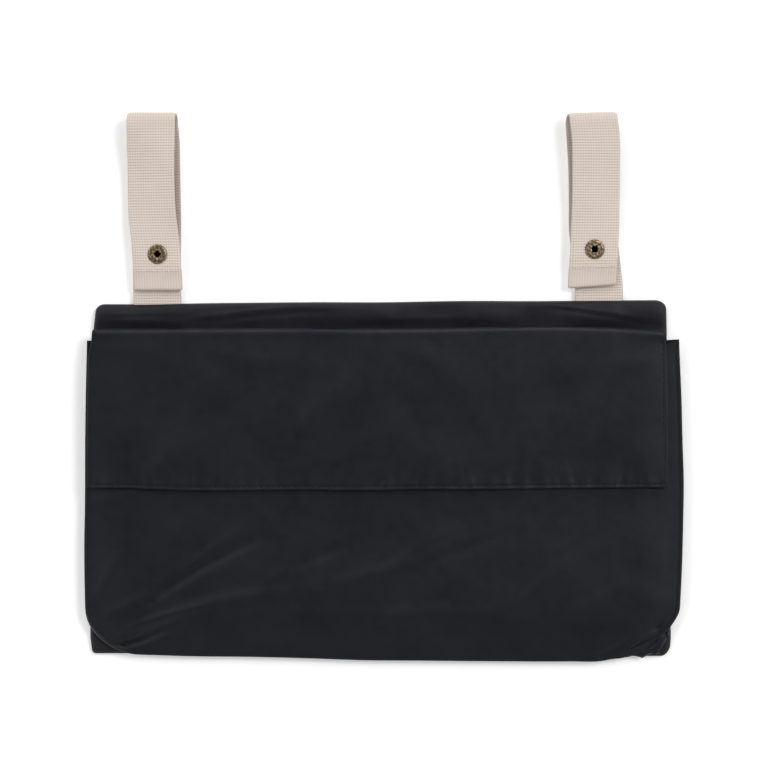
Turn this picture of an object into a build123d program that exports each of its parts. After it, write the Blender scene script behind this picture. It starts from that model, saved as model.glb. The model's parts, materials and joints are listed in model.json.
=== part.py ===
from build123d import *
import os

# A flat pouch with a folding flap and two webbing loops that close with snap fasteners.
# It lies on its back: +X is its right side, +Y points at the loops, +Z out of its front.
# All lengths are in millimetres.

# ---- Webbing loops and snap fasteners ----
webbing_width = 25.0
webbing_thickness = 1.5
strap_top = 144.7
# For each loop: middle of the webbing in X, middle of the snap in Y, end of the hem in Y.
straps = {
    "left": (-119.5, 69.7, 50.2),
    "right": (111.7, 72.3, 52.2),
}
hem_length = 11.3
fold_radius = 5.5
snap_radius = 5.15
shank_radius = 1.7
barrel_radius = 2.1
eye_radius = 1.7
stud_flange_radius = 4.0
stud_radius = 2.8
socket_mouth_radius = 3.1
tail_bottom = 32.0
swing_y = 46.0
swing_gap = 1.0
fold_gap = 0.3
stitch_width = 0.6
stitch_depth = 0.3
stitch_end_margin = 1.0
anchor_row_heights = (3.0, 8.0)
hem_stitch_drop = 1.6
slope_above_snap = 8.0
hole_gap = 0.1
ring_gap = 0.05
cap_chamfer = 0.4
eyelet_chamfer = 0.25
# How far a cutting shape passes the face that it cuts through.
cut_past = 1.0

# ---- Back of the pouch ----
panel_center_x = -1.6
panel_top_half_width = 150.5
panel_bottom_half_width = 153.2
panel_top = 44.4
panel_bottom = -142.0
panel_corner_radius = 5.0
panel_thickness = 1.0
back_lining_thickness = 0.8
stiffener_inset = 2.0
tail_clearance = 0.3

# ---- Pocket on the front ----
mouth_y = 23.8
pocket_bottom = -144.7
pocket_mouth_half_width = 155.5
pocket_half_width = 158.4
pocket_widest_y = -85.0
pocket_corner_radius = 27.0
gusset_mouth_half_width = 149.0
gusset_half_width = 150.5
gusset_bottom = -139.5
gusset_corner_radius = 22.0
gusset_wall = 2.0
front_thickness = 0.8
front_lining_thickness = 0.5
pocket_inner_inset = 1.0
binding_height = 6.0
binding_thickness = 0.4

# ---- Flap ----
flap_left = -156.0
flap_right = 149.7
flap_fold_y = 29.0
flap_bottom = -54.9
flap_corner_radius = 2.0
flap_topstitch_inset = 1.6
flap_lining_inset = 1.0
flap_thickness = 0.8
flap_lining_thickness = 0.5
closure_height = 25.0
closure_width = 120.0
closure_above_hem = 8.0
closure_bottom = flap_bottom + closure_above_hem
flap_root_height = 7.0
root_flange_thickness = 0.8
root_wall = 1.0
root_top = 9.4

# ---- Layers, from the surface that the pouch lies on to the flap's outer face ----
back_panel_top = panel_thickness
tail_top = back_panel_top + webbing_thickness
back_lining_top = tail_top + back_lining_thickness
pocket_depth = 5.0
front_lining_bottom = back_lining_top + pocket_depth
front_panel_bottom = front_lining_bottom + front_lining_thickness
front_panel_top = front_panel_bottom + front_thickness
tape_thickness = 0.9
closure_gap = 0.3
moving_gap = 0.3
flap_lining_bottom = front_panel_top + 2 * tape_thickness + closure_gap
flap_outer_bottom = flap_lining_bottom + flap_lining_thickness
flap_top = flap_outer_bottom + flap_thickness

# ---- Heights along the webbing loops ----
fold_y = strap_top - fold_radius
fold_z = back_panel_top + fold_radius
front_leg_bottom = 5.5
front_leg_top = front_leg_bottom + webbing_thickness
fold_middle_radius = fold_radius - webbing_thickness / 2

# ---- Heights in the snap fasteners ----
cap_bottom = 0.1
socket_floor_thickness = 0.4
socket_height = 1.8
stud_tip_gap = 0.4
stud_flange_thickness = 0.8
eyelet_thickness = 0.6
socket_floor = tail_top + socket_floor_thickness
socket_top = tail_top + socket_height
stud_tip = socket_floor + stud_tip_gap
stud_flange_bottom = front_leg_bottom - stud_flange_thickness
eyelet_top = front_leg_top + eyelet_thickness


def rounded_outline(corners, radii):
    """A closed outline through the corners, each rounded to its own radius."""
    outline = make_face(Polyline(*corners, close=True))
    for corner, radius in zip(corners, radii):
        if radius:
            vertex = outline.vertices().sort_by_distance((*corner, 0))[0]
            outline = fillet(vertex, radius)
    return outline


def plate(outline, bottom, top):
    """A flat layer with the given outline."""
    return extrude(Pos(0, 0, bottom) * outline, amount=top - bottom)


def block(x_range, y_range, z_range):
    """A box between two corners."""
    sizes = [high - low for low, high in (x_range, y_range, z_range)]
    middles = [(high + low) / 2 for low, high in (x_range, y_range, z_range)]
    return Pos(*middles) * Box(*sizes)


def disc(center, bottom, top, outer, inner=0.0):
    """A round disc or ring standing on Z, at an X and Y centre."""
    shape = Cylinder(outer, top - bottom)
    if inner:
        shape -= Cylinder(inner, top - bottom)
    return Pos(*center, (top + bottom) / 2) * shape


def across(center_x, width=webbing_width):
    """The X range of a strip centred on a strap."""
    return (center_x - width / 2, center_x + width / 2)


# ---- Back of the pouch ----

def panel_outline(inset=0.0):
    top = panel_top - inset
    bottom = panel_bottom + inset
    high = panel_top_half_width - inset
    low = panel_bottom_half_width - inset
    corners = [
        (panel_center_x - high, top),
        (panel_center_x + high, top),
        (panel_center_x + low, bottom),
        (panel_center_x - low, bottom),
    ]
    return rounded_outline(corners, [panel_corner_radius] * 4)


def back_stiffener():
    """A thin board between the two back layers, notched where the straps are sewn in."""
    board = plate(panel_outline(stiffener_inset), back_panel_top, tail_top)
    for center_x, _, _ in straps.values():
        width = webbing_width + 2 * tail_clearance
        board -= block(
            across(center_x, width),
            (tail_bottom - tail_clearance, panel_top),
            (back_panel_top, tail_top),
        )
    return board


def anchor_stitch(center_x):
    """Two rows of thread that hold a strap's tail inside the top seam."""
    rows = [
        block(
            across(center_x, webbing_width - 2 * stitch_end_margin),
            (tail_bottom + height, tail_bottom + height + stitch_width),
            (tail_top - stitch_depth, tail_top),
        )
        for height in anchor_row_heights
    ]
    return Compound(rows)


def strap_tail(center_x):
    """The end of a strap inside the top seam."""
    tail = block(
        across(center_x),
        (tail_bottom, swing_y - swing_gap),
        (back_panel_top, tail_top),
    )
    return tail - anchor_stitch(center_x)


def flap_root():
    """The strip of flap cloth from its seam on the back up to just under the fold."""
    flange = block(
        (flap_left, flap_right),
        (flap_fold_y, flap_fold_y + flap_root_height),
        (back_lining_top, back_lining_top + root_flange_thickness),
    )
    wall = block(
        (flap_left, flap_right),
        (flap_fold_y - root_wall / 2, flap_fold_y + root_wall / 2),
        (back_lining_top, root_top),
    )
    root = flange + wall
    return root & plate(panel_outline(), 0, flap_top)


# ---- Pocket ----

def pouch_outline(mouth_half, widest_half, bottom, radius, inset, top):
    """Nearly straight sides and two large bottom corners, drawn in by the inset."""
    mouth = mouth_half - inset
    widest = widest_half - inset
    base = bottom + inset
    corners = [
        (-mouth, top),
        (mouth, top),
        (widest, pocket_widest_y),
        (widest, base),
        (-widest, base),
        (-widest, pocket_widest_y),
    ]
    return rounded_outline(corners, [0, 0, 0, radius - inset, radius - inset, 0])


def pocket_outline(inset=0.0, top=mouth_y):
    """The pocket's front."""
    return pouch_outline(
        pocket_mouth_half_width, pocket_half_width, pocket_bottom, pocket_corner_radius,
        inset, top,
    )


def gusset_back_outline(inset=0.0, top=mouth_y):
    """Where the gusset meets the back."""
    return pouch_outline(
        gusset_mouth_half_width, gusset_half_width, gusset_bottom, gusset_corner_radius,
        inset, top,
    )


def gusset():
    """The slanted side and bottom wall between the back and the pocket's front."""
    top = front_lining_bottom - moving_gap

    def funnel(inset, mouth):
        low = Pos(0, 0, back_lining_top) * gusset_back_outline(inset, mouth)
        high = Pos(0, 0, top) * pocket_outline(pocket_inner_inset + inset, mouth)
        return loft([low, high])

    return funnel(0.0, mouth_y) - funnel(gusset_wall, mouth_y + cut_past)


def front_panel():
    return plate(pocket_outline(), front_panel_bottom, front_panel_top)


def front_lining():
    return plate(pocket_outline(pocket_inner_inset), front_lining_bottom, front_panel_bottom)


def mouth_binding():
    """A folded hem on the pocket's mouth, on the panel's outer face."""
    half = pocket_mouth_half_width - pocket_inner_inset
    return block(
        (-half, half),
        (mouth_y - binding_height, mouth_y),
        (front_panel_top, front_panel_top + binding_thickness),
    )


def closure_tape(bottom):
    """One half of the hook-and-loop closure."""
    middle = (flap_left + flap_right) / 2
    return block(
        (middle - closure_width / 2, middle + closure_width / 2),
        (closure_bottom, closure_bottom + closure_height),
        (bottom, bottom + tape_thickness),
    )


# ---- Flap ----

def flap_outline(inset=0.0):
    corners = [
        (flap_left + inset, flap_fold_y),
        (flap_right - inset, flap_fold_y),
        (flap_right - inset, flap_bottom + inset),
        (flap_left + inset, flap_bottom + inset),
    ]
    return rounded_outline(corners, [0, 0, flap_corner_radius, flap_corner_radius])


def flap_topstitch():
    """A line of thread round the flap's three free edges, let into its face."""
    line = plate(
        flap_outline(flap_topstitch_inset),
        flap_top - stitch_depth,
        flap_top,
    )
    return line - plate(
        flap_outline(flap_topstitch_inset + stitch_width),
        flap_top - stitch_depth,
        flap_top,
    )


# ---- Webbing loops ----

def back_leg(center_x, snap_y):
    """The part of a loop that lies behind, cut back to let the fold turn."""
    leg = block(
        across(center_x),
        (swing_y + swing_gap, fold_y),
        (back_panel_top, tail_top),
    )
    turning_room = Cylinder(fold_radius + fold_gap, 2 * webbing_width, rotation=(0, 90, 0))
    leg -= Pos(center_x, fold_y, fold_z) * turning_room
    return leg - disc((center_x, snap_y), 0, tail_top, shank_radius + hole_gap)


def hem_stitch(center_x, hem_y):
    """Thread across the hem at a loop's free end, let into its face."""
    row_y = hem_y + hem_length - hem_stitch_drop
    return block(
        across(center_x, webbing_width - 2 * stitch_end_margin),
        (row_y, row_y + stitch_width),
        (front_leg_top - stitch_depth, front_leg_top),
    )


def front_leg(center_x, snap_y, hem_y):
    """The rest of a loop: over the fold, down the front and turned under at its hem."""
    leg_middle = front_leg_bottom + webbing_thickness / 2
    slope_start = (snap_y + slope_above_snap, leg_middle)
    fold_start = (fold_y, fold_z + fold_middle_radius)
    lines = [
        Line((hem_y, leg_middle), slope_start),
        Line(slope_start, fold_start),
        ThreePointArc(
            fold_start,
            (fold_y + fold_middle_radius, fold_z),
            (fold_y, fold_z - fold_middle_radius),
        ),
    ]
    hem = Pos(hem_y + hem_length / 2, leg_middle - webbing_thickness) * Rectangle(
        hem_length, webbing_thickness
    )
    profile = trace(lines, line_width=webbing_thickness) + hem
    leg = Pos(center_x, 0, 0) * extrude(Plane.YZ * profile, amount=webbing_width / 2, both=True)
    leg -= disc((center_x, snap_y), 0, front_leg_top + cut_past, barrel_radius + hole_gap)
    return leg - hem_stitch(center_x, hem_y)


# ---- Snap fasteners ----

def snap_cap(center):
    """The plain cap behind the webbing, with its shank through it."""
    cap = disc(center, cap_bottom, back_panel_top, snap_radius)
    cap = chamfer(cap.edges().group_by(Axis.Z)[0], cap_chamfer)
    return cap + disc(center, back_panel_top, socket_floor, shank_radius)


def snap_socket(center):
    """The ring that the stud presses into."""
    floor = disc(center, tail_top, socket_floor, snap_radius, shank_radius + ring_gap)
    wall = disc(center, socket_floor, socket_top, snap_radius, socket_mouth_radius)
    return floor + wall


def snap_eyelet(center):
    """The ring that shows on the front, with its barrel through the webbing."""
    flange = disc(center, front_leg_top, eyelet_top, snap_radius, eye_radius)
    flange = chamfer(flange.edges().group_by(Axis.Z)[-1], eyelet_chamfer)
    return flange + disc(center, stud_flange_bottom, front_leg_top, barrel_radius, eye_radius)


def snap_stud(center):
    """The stud behind the front leg, which the barrel holds."""
    hole = barrel_radius + ring_gap
    flange = disc(center, stud_flange_bottom, front_leg_bottom, stud_flange_radius, hole)
    return flange + disc(center, stud_tip, stud_flange_bottom, stud_radius, hole)


# ---- All nodes ----

def build_nodes():
    stitch_line = flap_topstitch()
    nodes = {
        "back_panel": plate(panel_outline(), 0.0, back_panel_top),
        "back_stiffener": back_stiffener(),
        "back_lining": plate(panel_outline(), tail_top, back_lining_top),
        "flap_root": flap_root(),
        "gusset": gusset(),
        "front_panel": front_panel(),
        "front_lining": front_lining(),
        "mouth_binding": mouth_binding(),
        "loop_tape": closure_tape(front_panel_top),
        "hook_tape": closure_tape(flap_lining_bottom - tape_thickness),
        "flap_lining": plate(
            flap_outline(flap_lining_inset), flap_lining_bottom, flap_outer_bottom
        ),
        "flap_outer": plate(flap_outline(), flap_outer_bottom, flap_top) - stitch_line,
        "flap_topstitch": stitch_line,
    }
    for side, (center_x, snap_y, hem_y) in straps.items():
        snap_center = (center_x, snap_y)
        nodes[f"{side}_strap_tail"] = strap_tail(center_x)
        nodes[f"{side}_anchor_stitch"] = anchor_stitch(center_x)
        nodes[f"{side}_back_leg"] = back_leg(center_x, snap_y)
        nodes[f"{side}_snap_cap"] = snap_cap(snap_center)
        nodes[f"{side}_snap_socket"] = snap_socket(snap_center)
        nodes[f"{side}_front_leg"] = front_leg(center_x, snap_y, hem_y)
        nodes[f"{side}_hem_stitch"] = hem_stitch(center_x, hem_y)
        nodes[f"{side}_snap_eyelet"] = snap_eyelet(snap_center)
        nodes[f"{side}_snap_stud"] = snap_stud(snap_center)
    return nodes


os.makedirs("parts", exist_ok=True)
for name, shape in build_nodes().items():
    export_step(shape, f"parts/{name}.step")
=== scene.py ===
import json
import math

import bmesh
import bpy
import numpy as np
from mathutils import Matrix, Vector
from mathutils.bvhtree import BVHTree


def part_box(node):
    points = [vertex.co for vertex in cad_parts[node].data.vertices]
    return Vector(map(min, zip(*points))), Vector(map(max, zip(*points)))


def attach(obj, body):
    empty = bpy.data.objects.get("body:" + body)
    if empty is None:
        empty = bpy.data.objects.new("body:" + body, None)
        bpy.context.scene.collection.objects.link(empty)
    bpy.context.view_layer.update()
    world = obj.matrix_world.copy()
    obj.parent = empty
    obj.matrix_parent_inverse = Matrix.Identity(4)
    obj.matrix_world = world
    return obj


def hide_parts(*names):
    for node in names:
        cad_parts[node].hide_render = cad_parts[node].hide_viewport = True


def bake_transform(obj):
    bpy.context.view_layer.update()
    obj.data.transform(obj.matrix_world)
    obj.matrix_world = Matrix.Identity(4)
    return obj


# Lengths in this script are millimetres, in the CAD frame: +X right, +Y towards the loops,
# +Z out of the front. A mesh is turned into metres when it is made.
MM = 0.001

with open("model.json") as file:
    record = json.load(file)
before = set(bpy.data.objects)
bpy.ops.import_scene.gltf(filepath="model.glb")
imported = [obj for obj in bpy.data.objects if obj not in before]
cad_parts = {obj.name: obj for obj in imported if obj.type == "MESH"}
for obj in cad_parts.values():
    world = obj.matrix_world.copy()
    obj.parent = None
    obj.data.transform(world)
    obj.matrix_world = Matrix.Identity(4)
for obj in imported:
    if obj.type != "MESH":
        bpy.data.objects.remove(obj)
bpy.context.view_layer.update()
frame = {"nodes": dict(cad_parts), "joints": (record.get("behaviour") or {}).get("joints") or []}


# ---------------------------------------------------------------- places from the frame

def box_mm(node):
    """A CAD node's lowest and highest corner, in millimetres."""
    low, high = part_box(node)
    return np.array(low) / MM, np.array(high) / MM


def joint_place(name):
    """Where a hinge's axis passes, in millimetres."""
    joint = next(j for j in frame["joints"] if j["name"] == name)
    return np.array(joint["pos_m"]) / MM


panel_low, panel_high = box_mm("back_panel")
lining_top = box_mm("back_lining")[1][2]
pocket_low, pocket_high = box_mm("front_panel")
flap_low, flap_high = box_mm("flap_outer")
flap_pivot = joint_place("flap_lift")
SIDES = ("left", "right")
snap_center = {side: np.mean(box_mm(f"{side}_snap_eyelet"), axis=0) for side in SIDES}

# Webbing, the same for the strap tails, the loops and the loops' material.
WEB_HALF = 12.5
WEB_THICK = 1.5
RIB_COLUMNS = 18
ROW_PITCH = 1.45
COLUMN_PITCH = 2 * WEB_HALF / RIB_COLUMNS


# ---------------------------------------------------------------- numbers and noise

def smoothstep(value, low=0.0, high=1.0):
    """Rises smoothly from 0 at low to 1 at high, which may be the smaller number."""
    t = np.clip((value - low) / (high - low), 0.0, 1.0)
    return t * t * (3 - 2 * t)


def hill(value, middle, width):
    """A smooth hump one high, about twice the width across."""
    return np.exp(-(((value - middle) / width) ** 2))


LATTICE = 64


def soft_noise(x, y, size, seed):
    """Smooth noise from -1 to 1 whose features are about one size across."""
    lattice = np.random.default_rng(seed).uniform(-1, 1, (LATTICE, LATTICE))
    # The 200 only chooses which part of the lattice falls on the pouch.
    u, v = np.asarray(x) / size + 200.0, np.asarray(y) / size + 200.0
    i, j = np.floor(u).astype(int), np.floor(v).astype(int)
    s, t = smoothstep(u - i), smoothstep(v - j)
    low, high = (
        lattice[i % LATTICE, (j + k) % LATTICE] * (1 - s) + lattice[(i + 1) % LATTICE, (j + k) % LATTICE] * s
        for k in (0, 1)
    )
    return low * (1 - t) + high * t


def through(value, points):
    """A smooth curve through a few (place, height) points."""
    places, heights = (np.array(p, float) for p in zip(*sorted(points)))
    slopes = np.gradient(heights, places)
    value = np.clip(value, places[0], places[-1])
    k = np.clip(np.searchsorted(places, value) - 1, 0, len(places) - 2)
    span = places[k + 1] - places[k]
    t = (value - places[k]) / span
    return (
        heights[k] * (1 + 2 * t) * (1 - t) ** 2
        + heights[k + 1] * t * t * (3 - 2 * t)
        + span * (slopes[k] * t * (1 - t) ** 2 - slopes[k + 1] * t * t * (1 - t))
    )


def fold(x, y, start, end, width, height, bend=0.0):
    """A soft crease between two places, highest a third of the way along. bend bows it sideways."""
    along = np.subtract(end, start)
    length = np.hypot(*along)
    ax, ay = along / length
    t = ((x - start[0]) * ax + (y - start[1]) * ay) / length
    off = (y - start[1]) * ax - (x - start[0]) * ay
    inside = np.clip(t, 0, 1)
    off = off - bend * 4 * inside * (1 - inside)
    spread = width * (0.6 + 0.8 * inside)
    return height * np.sin(np.pi * inside ** 0.65) * np.exp(-((off / spread) ** 2))


def add_folds(z, x, y, folds, weight):
    """Adds a list of soft creases to a grid's heights."""
    for crease in folds:
        z += weight * fold(x, y, *crease)


# ---------------------------------------------------------------- meshes

def make_object(name, points, faces, cloth):
    """A smooth mesh from points in millimetres. cloth gives each point's place on the flat cloth in X
    and Y, and in Z what its material reads there: how much painted sheen it gets, or how smooth. A turned
    piece has its radius, height and arc there instead."""
    mesh = bpy.data.meshes.new(name)
    mesh.from_pydata((np.asarray(points) * MM).tolist(), [], faces)
    work = bmesh.new()
    work.from_mesh(mesh)
    bmesh.ops.recalc_face_normals(work, faces=work.faces)
    work.to_mesh(mesh)
    work.free()
    mesh.polygons.foreach_set("use_smooth", [True] * len(mesh.polygons))
    layer = mesh.attributes.new("cloth", "FLOAT_VECTOR", "POINT")
    layer.data.foreach_set("vector", np.asarray(cloth, np.float32).ravel())
    piece = bpy.data.objects.new(name, mesh)
    bpy.context.scene.collection.objects.link(piece)
    return piece


def grid_quads(rows, columns, first=0, wrap=False):
    """Faces of a grid of points numbered row by row."""
    last = columns if wrap else columns - 1
    return [
        (
            first + i * columns + j,
            first + i * columns + (j + 1) % columns,
            first + (i + 1) * columns + (j + 1) % columns,
            first + (i + 1) * columns + j,
        )
        for i in range(rows - 1)
        for j in range(last)
    ]


def rim_indices(rows, columns):
    """Row and column of each point round a grid's edge, in order."""
    rim = [(0, j) for j in range(columns)]
    rim += [(i, columns - 1) for i in range(1, rows)]
    rim += [(rows - 1, j) for j in range(columns - 2, -1, -1)]
    rim += [(i, 0) for i in range(rows - 2, 0, -1)]
    return rim


def closed_shell(name, top, bottom, round_out, flat):
    """Two grids joined round their edges by a rounded rim."""
    rows, columns = top.shape[:2]
    rim = rim_indices(rows, columns)
    middle = []
    for i, j in rim:
        inner = top[min(max(i, 1), rows - 2), min(max(j, 1), columns - 2)]
        outward = top[i, j] - inner
        outward = outward / (np.linalg.norm(outward) + 1e-9)
        middle.append((top[i, j] + bottom[i, j]) / 2 + outward * round_out)
    count = rows * columns
    points = np.vstack([top.reshape(-1, 3), bottom.reshape(-1, 3), np.array(middle)])
    faces = grid_quads(rows, columns)
    faces += [tuple(reversed(f)) for f in grid_quads(rows, columns, count)]
    for k, (i, j) in enumerate(rim):
        nxt = (k + 1) % len(rim)
        upper, upper_next = i * columns + j, rim[nxt][0] * columns + rim[nxt][1]
        mid, mid_next = 2 * count + k, 2 * count + nxt
        faces.append((upper, mid, mid_next, upper_next))
        faces.append((mid, count + upper, count + upper_next, mid_next))
    edge = np.array([flat[i, j] for i, j in rim])
    cloth = np.vstack([flat.reshape(-1, 3), flat.reshape(-1, 3), edge])
    return make_object(name, points, faces, cloth)


def grid_normals(grid):
    """Unit normals of a grid surface, pointing up where the grid lies flat."""
    across = np.gradient(grid, axis=1)
    along = np.gradient(grid, axis=0)
    normal = np.cross(across, along)
    return normal / (np.linalg.norm(normal, axis=2, keepdims=True) + 1e-12)


def cloth_shell(name, surface, thickness, round_out, flat, depth=0.0):
    """Cloth of a thickness whose outer face is a grid surface, or lies a depth below it."""
    normal = grid_normals(surface)
    top = surface - normal * depth
    bottom = surface - normal * (depth + thickness)
    return closed_shell(name, top, bottom, round_out, flat)


def edge_distance(x, y, outline):
    """How far each point is from a closed outline."""
    points = np.stack([np.ravel(x), np.ravel(y)], 1)
    best = np.full(len(points), 1e9)
    for a, b in zip(outline, np.roll(outline, -1, axis=0)):
        ab = b - a
        t = np.clip(((points - a) @ ab) / (ab @ ab + 1e-12), 0, 1)
        gap = np.hypot(*(points - a - t[:, None] * ab).T)
        best = np.minimum(best, gap)
    return best.reshape(np.shape(x))


# Places of a grid's columns near its sides, where the cloth turns.
FINE = np.array([0.0, 0.3, 0.7, 1.2, 1.8, 2.6, 3.6, 4.8, 6.4, 8.2])


def panel_grid(row_y, left, right, step):
    """A grid of X and Y between two side curves, with columns close together near both."""
    inner_width = (right - left).max() - 2 * FINE[-1]
    shares = np.linspace(0, 1, max(4, int(round(inner_width / step))) + 1)
    rows = []
    for a, b in zip(left, right):
        middle = a + FINE[-1] + shares * (b - a - 2 * FINE[-1])
        rows.append(np.concatenate([a + FINE[:-1], middle, (b - FINE[:-1])[::-1]]))
    return np.array(rows), np.repeat(row_y[:, None], len(rows[0]), axis=1)


def outline_of(x, y):
    """The closed outline of a grid."""
    return np.array([(x[i, j], y[i, j]) for i, j in rim_indices(*x.shape)])


def roll_off(distance, width):
    """Rises from 0 at an edge to 1 at a distance, as a quarter ellipse."""
    t = np.clip(distance / width, 0, 1)
    return np.sqrt(1 - (1 - t) ** 2)


def corner_rows(bottom, radius, steps):
    """Rows that follow a round corner up from the bottom."""
    angles = np.linspace(0, math.pi / 2, steps)
    return bottom + radius * (1 - np.cos(angles))


def corner_inset(y, bottom, tall, wide, power):
    """How far a corner draws a side in: power 2 is round, and nearer 1 is a straight cut."""
    t = np.clip((y - bottom) / tall, 0, 1)
    return wide * (1 - (1 - (1 - t) ** power) ** (1 / power))


# ---------------------------------------------------------------- materials

def node(tree, kind, values=None, **settings):
    """Adds a shader node, sets its properties, and sets or links its inputs."""
    made = tree.nodes.new("ShaderNode" + kind)
    for key, value in settings.items():
        setattr(made, key, value)
    for key, value in (values or {}).items():
        if isinstance(value, bpy.types.NodeSocket):
            tree.links.new(value, made.inputs[key])
        else:
            made.inputs[key].default_value = value
    return made


def math_node(tree, operation, a, b=0.0):
    return node(tree, "Math", {0: a, 1: b}, operation=operation).outputs[0]


def times(tree, a, b):
    return math_node(tree, "MULTIPLY", a, b)


def plus(tree, a, b):
    return math_node(tree, "ADD", a, b)


def minus(tree, a, b):
    return math_node(tree, "SUBTRACT", a, b)


def scaled(tree, colour, factor):
    """A colour made brighter or darker."""
    return node(tree, "VectorMath", {0: colour, 3: factor}, operation="SCALE").outputs[0]


def split(tree, vector):
    """A vector's three values."""
    return node(tree, "SeparateXYZ", {0: vector}).outputs


def connect(tree, shader, **sockets):
    """Links sockets to the Principled shader's inputs."""
    for key, socket in sockets.items():
        tree.links.new(socket, shader.inputs[key.replace("_", " ")])


def attribute(tree, name):
    """The outputs of an attribute that the mesh's points hold."""
    return node(tree, "Attribute", attribute_name=name, attribute_type="GEOMETRY").outputs


def new_material(name, **constants):
    """A material with its Principled shader, whose constant inputs are set directly."""
    material = bpy.data.materials.new(name)
    material.use_nodes = True
    tree = material.node_tree
    shader = tree.nodes["Principled BSDF"]
    for key, value in constants.items():
        shader.inputs[key.replace("_", " ")].default_value = value
    return material, tree, shader


def cloth_place(tree):
    """The point's place on the flat cloth, in millimetres."""
    return attribute(tree, "cloth")["Vector"]


def noise(tree, vector, scale, detail=3.0, roughness=0.5):
    """Noise from 0 to 1. The place is in millimetres, or in metres for object coordinates."""
    values = {"Vector": vector, "Scale": scale, "Detail": detail, "Roughness": roughness}
    return node(tree, "TexNoise", values).outputs["Fac"]


def ramp(tree, factor, stops):
    """A colour ramp through (place, colour) stops."""
    made = node(tree, "ValToRGB", {"Fac": factor})
    elements = made.color_ramp.elements
    elements[0].position, elements[0].color = stops[0][0], (*stops[0][1], 1)
    elements[1].position, elements[1].color = stops[-1][0], (*stops[-1][1], 1)
    for place, colour in stops[1:-1]:
        elements.new(place).color = (*colour, 1)
    return made.outputs["Color"]


def bump(tree, height, distance, strength=1.0, normal=None):
    values = {"Height": height, "Distance": distance, "Strength": strength}
    if normal is not None:
        values["Normal"] = normal
    return node(tree, "Bump", values).outputs["Normal"]


def wave(tree, place, pitch):
    """A sine of a place in millimetres, repeating every pitch."""
    return math_node(tree, "SINE", times(tree, place, 2 * math.pi / pitch))


def nylon(name, dark, light, weave_pitch=0.55, crinkle=1.0):
    """Thin plain-woven nylon: a fine weave, fine crinkles, a soft sheen, and painted sheen on pressed edges
    and folds.
    """
    material, tree, shader = new_material(name, Specular_IOR_Level=0.22)
    place = cloth_place(tree)
    x, y, painted_sheen = split(tree, place)
    weave = times(tree, wave(tree, x, weave_pitch), wave(tree, y, weave_pitch))
    broad = noise(tree, place, 0.035)
    medium = noise(tree, place, 0.16, 5.0, 0.6)
    tint = plus(tree, times(tree, medium, 0.35), times(tree, broad, 0.65))
    # Painted sheen: pressed edges and folds are coloured paler, standing in for the light they catch.
    paler = plus(tree, 1.0, times(tree, painted_sheen, 1.5))
    colour = scaled(tree, ramp(tree, tint, [(0.38, dark), (0.62, light)]), paler)
    rough = plus(tree, times(tree, medium, 0.14), 0.40)
    normal = bump(tree, medium, 0.0009 * crinkle, 0.16)
    normal = bump(tree, weave, 0.00006, 0.35, normal)
    connect(tree, shader, Base_Color=colour, Roughness=rough, Normal=normal)
    return material


def webbing(name, groove, yarn, highlight):
    """Cotton webbing: pale ribs with darker grooves between them, and fibres; the grooves' dark is painted
    shade and the rib tops' pale is painted highlight.
    """
    material, tree, shader = new_material(
        name, Roughness=0.86, Specular_IOR_Level=0.25, Sheen_Weight=0.25, Sheen_Roughness=0.5
    )
    place = cloth_place(tree)
    x, y, smooth = split(tree, place)
    rows = math_node(tree, "ABSOLUTE", wave(tree, y, 2 * ROW_PITCH))
    columns = math_node(tree, "ABSOLUTE", wave(tree, x, 2 * COLUMN_PITCH))
    # The ribs fade where the webbing is pressed smooth, and their painted shade and highlight give way to an
    # even mid tone.
    rows = plus(tree, times(tree, rows, minus(tree, 1.0, smooth)), times(tree, smooth, 0.42))
    columns = plus(tree, times(tree, columns, 0.65), 0.35)
    ribs = math_node(tree, "POWER", times(tree, rows, columns), 0.6)
    stretched = node(tree, "VectorMath", {0: place, 1: (1.0, 2.6, 1.0)}, operation="MULTIPLY")
    fibres = noise(tree, stretched.outputs[0], 1.6, 4.0, 0.7)
    broad = noise(tree, place, 0.06, 2.0)
    shade = plus(tree, times(tree, ribs, 0.62), times(tree, fibres, 0.34))
    shade = plus(tree, shade, times(tree, broad, 0.12))
    # Painted shade in the grooves and painted highlight on the rib tops follow the ribs, mixed with the
    # fibres' own tone.
    colour = ramp(tree, shade, [(0.18, groove), (0.62, yarn), (0.95, highlight)])
    # Painted shade: the inside of a loop is coloured darker, where its other leg shades it.
    inside = attribute(tree, "inside")["Fac"]
    colour = scaled(tree, colour, minus(tree, 1.0, times(tree, inside, 0.26)))
    normal = bump(tree, ribs, 0.00016, 0.5)
    normal = bump(tree, fibres, 0.0001, 0.5, normal)
    connect(tree, shader, Base_Color=colour, Normal=normal)
    return material


def thread(name, colour):
    """Twisted sewing thread."""
    material, tree, shader = new_material(name, Roughness=0.65, Specular_IOR_Level=0.25)
    twist = noise(tree, cloth_place(tree), 3.0, 2.0)
    pale = tuple(min(1.0, c * 1.35) for c in colour)
    tint = ramp(tree, twist, [(0.35, colour), (0.65, pale)])
    connect(tree, shader, Base_Color=tint, Normal=bump(tree, twist, 0.0001, 0.4))
    return material


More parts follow.
